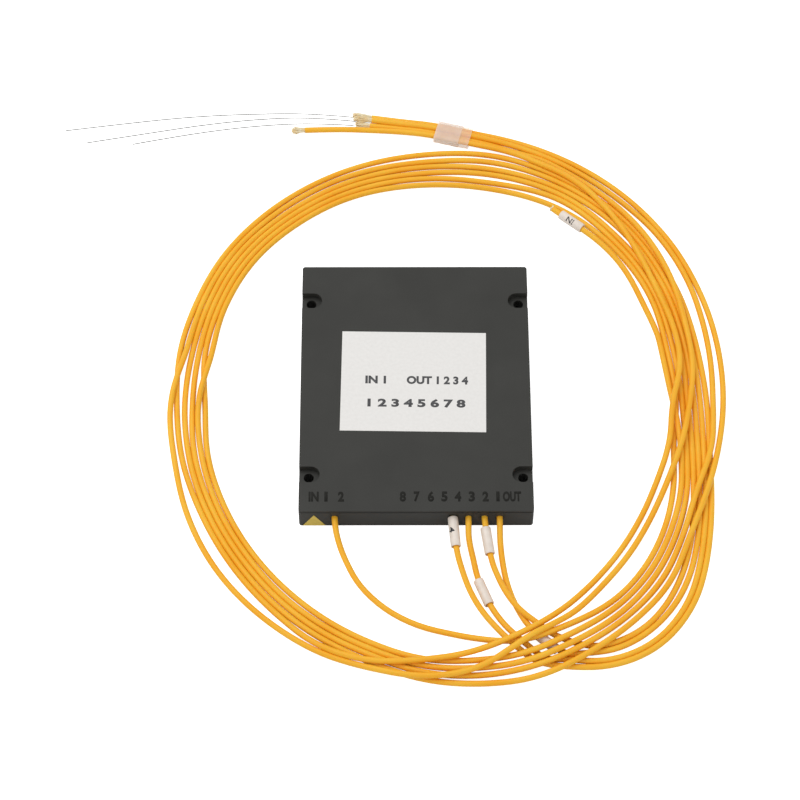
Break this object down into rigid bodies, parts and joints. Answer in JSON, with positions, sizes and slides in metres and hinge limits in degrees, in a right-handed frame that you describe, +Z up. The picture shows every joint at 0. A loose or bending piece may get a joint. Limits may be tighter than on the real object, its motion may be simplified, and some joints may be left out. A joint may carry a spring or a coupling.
{
  "type": "boxed fibre optic splitter",
  "caption": "Flat moulded splitter box with corner screw seats, a label, and yellow fibre cords coiled loosely round it.",
  "frame": {"origin": "middle of the underside of the box", "axes": "+Z up out of the labelled cover, +X across the box, cords leave the box towards -Y"},
  "size_m": [0.2383, 0.2366, 0.0101],
  "materials": {
    "housing_plastic": "fine moulded texture",
    "label_paper": "plain",
    "index_yellow": "printed film",
    "seal_rubber": "matt",
    "cord_jacket": "satin",
    "buffer_coat": "satin",
    "sleeve_white": "satin",
    "strength_yarn": "loose yarn",
    "clear_tape": "creased film",
    "fibre_bare": "polished",
    "pad_foam": "soft foam",
    "module_steel": "drawn",
    "array_glass": "ground",
    "chip_silica": "polished"
  },
  "bodies": {
    "root": {"housing_base": "housing_plastic", "housing_cover": "housing_plastic", "face_label": "label_paper", "index_sticker": "index_yellow", "fibre_store": "buffer_coat", "port_seal_in": "seal_rubber", "buffer_tube_in": "buffer_coat", "tag_sleeve_in": "sleeve_white", "yarn_tuft_in": "strength_yarn", "port_seal_1": "seal_rubber", "buffer_tube_1": "buffer_coat", "tag_sleeve_1": "sleeve_white", "yarn_tuft_1": "strength_yarn", "port_seal_2": "seal_rubber", "buffer_tube_2": "buffer_coat", "tag_sleeve_2": "sleeve_white", "yarn_tuft_2": "strength_yarn", "port_seal_3": "seal_rubber", "buffer_tube_3": "buffer_coat", "tag_sleeve_3": "sleeve_white", "yarn_tuft_3": "strength_yarn", "port_seal_4": "seal_rubber", "buffer_tube_4": "buffer_coat", "tag_sleeve_4": "sleeve_white", "yarn_tuft_4": "strength_yarn", "module_pad": "pad_foam", "module_tube": "module_steel", "module_cap_in": "seal_rubber", "module_cap_out": "seal_rubber", "module_bed": "pad_foam", "input_array": "array_glass", "splitter_chip": "chip_silica", "output_array": "array_glass", "input_pigtail": "buffer_coat", "output_ribbon": "fibre_bare", "input_lead": "cord_jacket", "input_end": "cord_jacket", "cord_coil": "cord_jacket", "tape_wrap": "clear_tape", "output_lead_1": "cord_jacket", "output_end_1": "cord_jacket", "output_lead_2": "cord_jacket", "output_end_2": "cord_jacket", "output_lead_3": "cord_jacket", "output_end_3": "cord_jacket", "output_lead_4": "cord_jacket", "output_end_4": "cord_jacket", "bare_fibre_1": "fibre_bare", "bare_fibre_2": "fibre_bare", "bare_fibre_3": "fibre_bare"}
  },
  "joints": []
}
